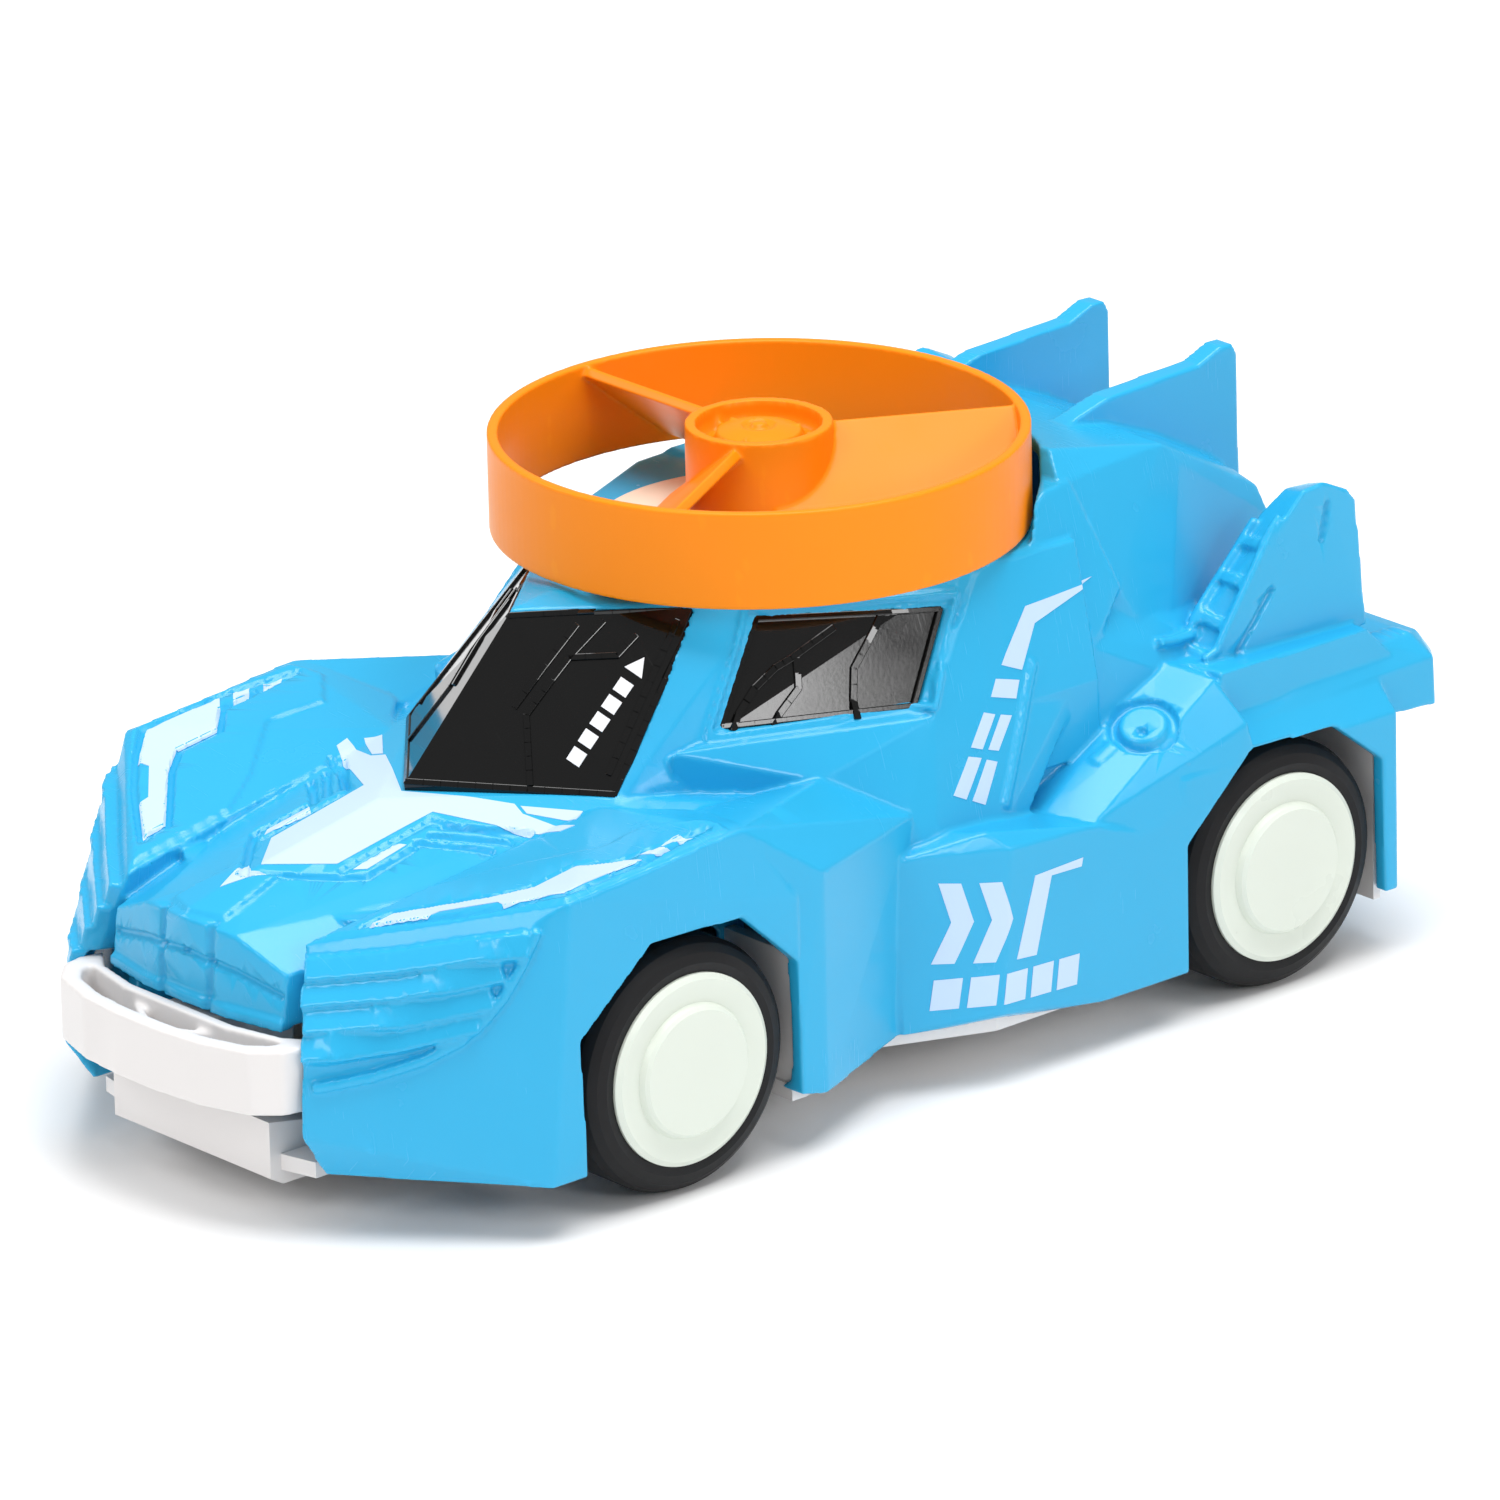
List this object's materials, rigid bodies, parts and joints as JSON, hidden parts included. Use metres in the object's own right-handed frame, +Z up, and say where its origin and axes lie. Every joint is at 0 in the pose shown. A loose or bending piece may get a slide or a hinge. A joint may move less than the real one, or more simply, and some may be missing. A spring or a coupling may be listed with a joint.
{
  "type": "pull back car",
  "caption": "Toy car wound by pulling it back, with a sprung bumper trigger and a ringed propeller that lifts off its roof launcher.",
  "frame": {"origin": "middle of the bounding box at ground level, under the car", "axes": "+X towards the car's left side, -Y towards its nose, +Z up"},
  "size_m": [0.0662, 0.1332, 0.0562],
  "materials": {
    "blue_shell": "glossy moulded plastic",
    "black_screen": "gloss black",
    "white_plastic": "semi-gloss white",
    "steel": "drawn steel",
    "gear_white": "nylon",
    "gear_grey": "grey acetal",
    "case_black": "black case",
    "cream_plastic": "cream",
    "orange_plastic": "semi-gloss orange",
    "wheel_white": "pale greenish white",
    "tyre_black": "satin black"
  },
  "bodies": {
    "car": {"body_shell": "blue_shell", "windscreen": "black_screen", "side_window_left": "black_screen", "side_window_right": "black_screen", "chassis": "white_plastic", "screws": "steel", "motor_case_left": "case_black", "motor_case_right": "case_black", "gear_shafts": "steel", "latch_pin": "steel", "launcher_base": "cream_plastic", "launcher_cage": "white_plastic", "bumper_spring": "steel"},
    "front_wheels": {"front_axle": "steel", "front_hub_left": "wheel_white", "front_hub_right": "wheel_white", "front_tyre_left": "tyre_black", "front_tyre_right": "tyre_black"},
    "rear_wheels": {"rear_axle": "steel", "rear_hub_left": "wheel_white", "rear_hub_right": "wheel_white", "rear_tyre_left": "tyre_black", "rear_tyre_right": "tyre_black", "axle_pinion": "gear_white"},
    "compound": {"compound_gear": "gear_white"},
    "drum": {"drum_gear": "gear_grey", "mainspring": "steel"},
    "bumper": {"bumper": "white_plastic", "push_bar": "white_plastic"},
    "lever": {"latch_lever": "gear_grey"},
    "spindle": {"spindle": "cream_plastic", "launcher_spring": "steel"},
    "propeller": {"propeller": "orange_plastic"}
  },
  "joints": [
    {"name": "front_axle_spin", "type": "hinge", "parent": "car", "child": "front_wheels", "pos_m": [0, -0.02885, 0.0119], "axis": [1, 0, 0], "continuous": true},
    {"name": "rear_axle_spin", "type": "hinge", "parent": "car", "child": "rear_wheels", "pos_m": [0, 0.04395, 0.0119], "axis": [1, 0, 0], "continuous": true},
    {"name": "compound_spin", "type": "hinge", "parent": "car", "child": "compound", "pos_m": [0, 0.03515, 0.01705], "axis": [1, 0, 0], "continuous": true},
    {"name": "drum_spin", "type": "hinge", "parent": "car", "child": "drum", "pos_m": [0, 0.02375, 0.017], "axis": [1, 0, 0], "continuous": true},
    {"name": "bumper_slide", "type": "slide", "parent": "car", "child": "bumper", "axis": [0, 1, 0], "range_m": [0, 0.002], "stiffness_N_per_m": 200, "springref_m": -0.002, "deforming": ["bumper_spring"]},
    {"name": "latch_swing", "type": "hinge", "parent": "car", "child": "lever", "pos_m": [0, -0.00885, 0.024], "axis": [1, 0, 0], "range_deg": [0, 19]},
    {"name": "spindle_spin", "type": "hinge", "parent": "car", "child": "spindle", "pos_m": [0, 0.00875, 0.03], "axis": [0, 0, 1], "range_deg": [-720, 0], "stiffness_Nm_per_rad": 0.0004},
    {"name": "propeller_lift", "type": "slide", "parent": "spindle", "child": "propeller", "axis": [0, 0, 1], "range_m": [0, 0.03]}
  ],
  "couplings": [
    {"joint": "compound_spin", "follows": "rear_axle_spin", "ratio": -0.41667},
    {"joint": "drum_spin", "follows": "rear_axle_spin", "ratio": 0.14881},
    {"joint": "latch_swing", "follows": "bumper_slide", "rad_per_m": 111}
  ]
}
